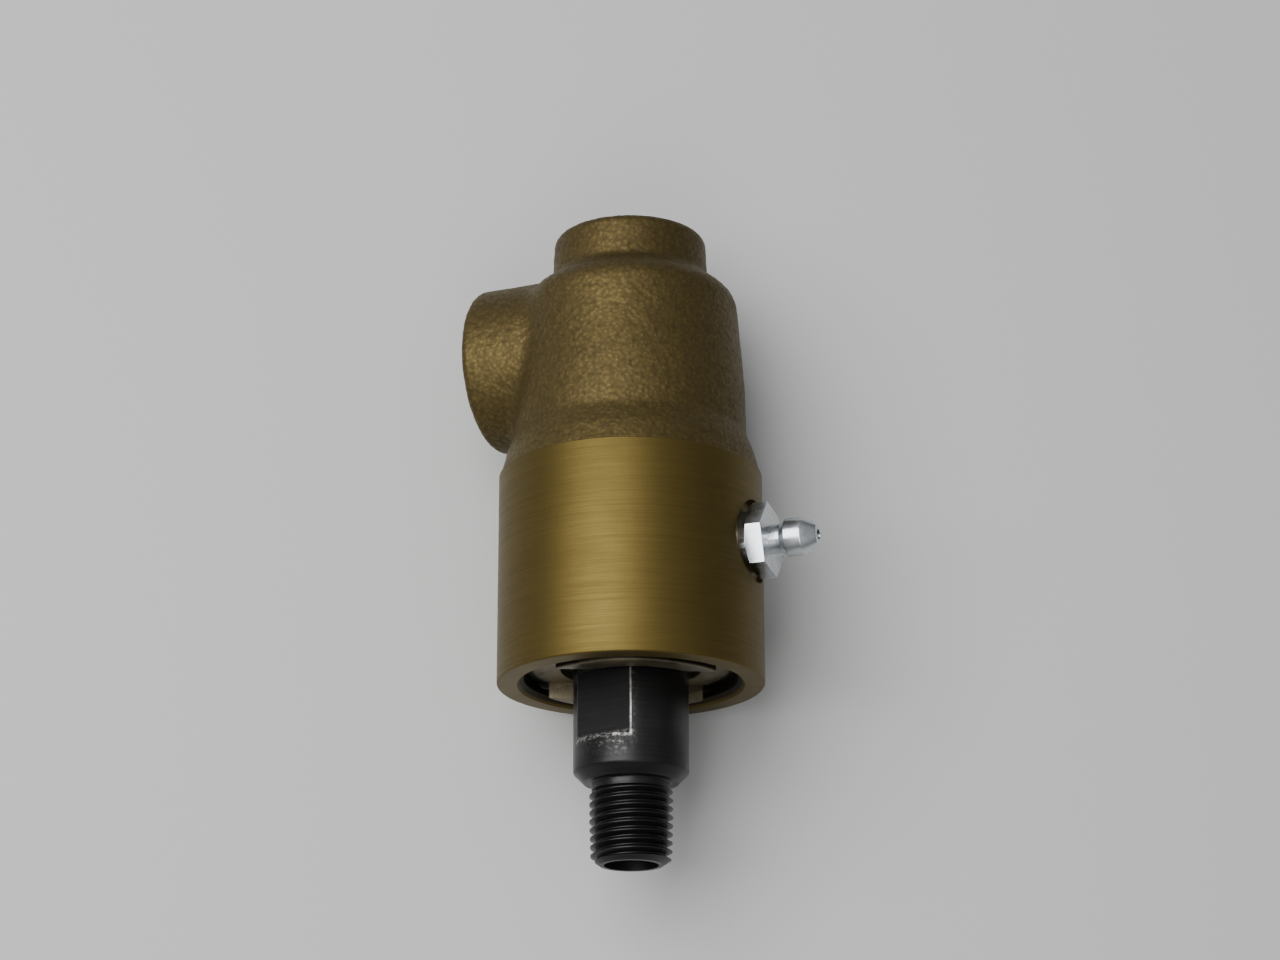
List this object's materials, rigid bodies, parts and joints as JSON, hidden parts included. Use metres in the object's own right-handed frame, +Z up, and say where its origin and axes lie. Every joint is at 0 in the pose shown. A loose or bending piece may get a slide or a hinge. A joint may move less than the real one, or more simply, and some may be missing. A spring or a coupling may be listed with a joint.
{
  "type": "hydraulic rotary union",
  "caption": "Rotary union with a cast bronze body, threaded steel rotor on ball bearings, side and end pipe ports and a grease nipple.",
  "frame": {"origin": "on the turning axis, in the plane of the rotor's thread shoulder", "axes": "+Y along the turning axis, from the rotor toward the end port; +Z up as the union lies on its cylinder and on the rim of its side port, which leans to -X and down"},
  "size_m": [0.0603, 0.1097, 0.0444],
  "materials": {
    "cast_bronze": "sand-cast bronze, turned bright on the bearing end",
    "black_steel": "black oxide steel, satin",
    "yellow_zinc": "yellow zinc plated steel",
    "bearing_steel": "ground bearing steel",
    "spring_steel": "spring steel",
    "carbon": "carbon graphite, lapped face",
    "seal_steel": "hardened steel, lapped face",
    "rubber": "moulded seal rubber",
    "zinc_plate": "bright zinc plated steel",
    "spacer_steel": "turned steel"
  },
  "bodies": {
    "body": {"housing": "cast_bronze", "retainer_ring": "yellow_zinc", "front_outer_race": "bearing_steel", "front_shield": "zinc_plate", "outer_spacer": "spacer_steel", "rear_outer_race": "bearing_steel", "rear_shield": "zinc_plate", "floating_seal_o_ring": "rubber", "spring_washer": "spacer_steel", "seal_spring": "spring_steel", "anti_rotation_pin": "spring_steel", "grease_nipple": "zinc_plate", "grease_nipple_spring": "spring_steel"},
    "rotor": {"rotor": "black_steel", "front_inner_race": "bearing_steel", "inner_spacer": "spacer_steel", "rear_inner_race": "bearing_steel", "rotor_snap_ring": "spring_steel", "rotating_seal": "carbon"},
    "front_ball_set": {"front_balls": "bearing_steel", "front_cage": "spacer_steel"},
    "rear_ball_set": {"rear_balls": "bearing_steel", "rear_cage": "spacer_steel"},
    "floating_seal": {"floating_seal": "seal_steel"},
    "grease_check_ball": {"grease_nipple_ball": "bearing_steel"}
  },
  "joints": [
    {"name": "rotor_spin", "type": "hinge", "parent": "body", "child": "rotor", "pos_m": [0, 0, 0], "axis": [0, 1, 0], "continuous": true},
    {"name": "front_ball_set_spin", "type": "hinge", "parent": "body", "child": "front_ball_set", "pos_m": [0, 0.0265, 0], "axis": [0, 1, 0], "continuous": true},
    {"name": "rear_ball_set_spin", "type": "hinge", "parent": "body", "child": "rear_ball_set", "pos_m": [0, 0.0505, 0], "axis": [0, 1, 0], "continuous": true},
    {"name": "floating_seal_slide", "type": "slide", "parent": "body", "child": "floating_seal", "axis": [0, 1, 0], "range_m": [0, 0.0008], "stiffness_N_per_m": 331, "springref_m": -0.006, "deforming": ["seal_spring"]},
    {"name": "grease_check_slide", "type": "slide", "parent": "body", "child": "grease_check_ball", "axis": [-0.9348, 0, -0.3552], "range_m": [0, 0.0006], "stiffness_N_per_m": 200, "springref_m": -0.0015, "deforming": ["grease_nipple_spring"]}
  ],
  "couplings": [
    {"joint": "front_ball_set_spin", "follows": "rotor_spin", "ratio": 0.40842},
    {"joint": "rear_ball_set_spin", "follows": "rotor_spin", "ratio": 0.40842}
  ]
}
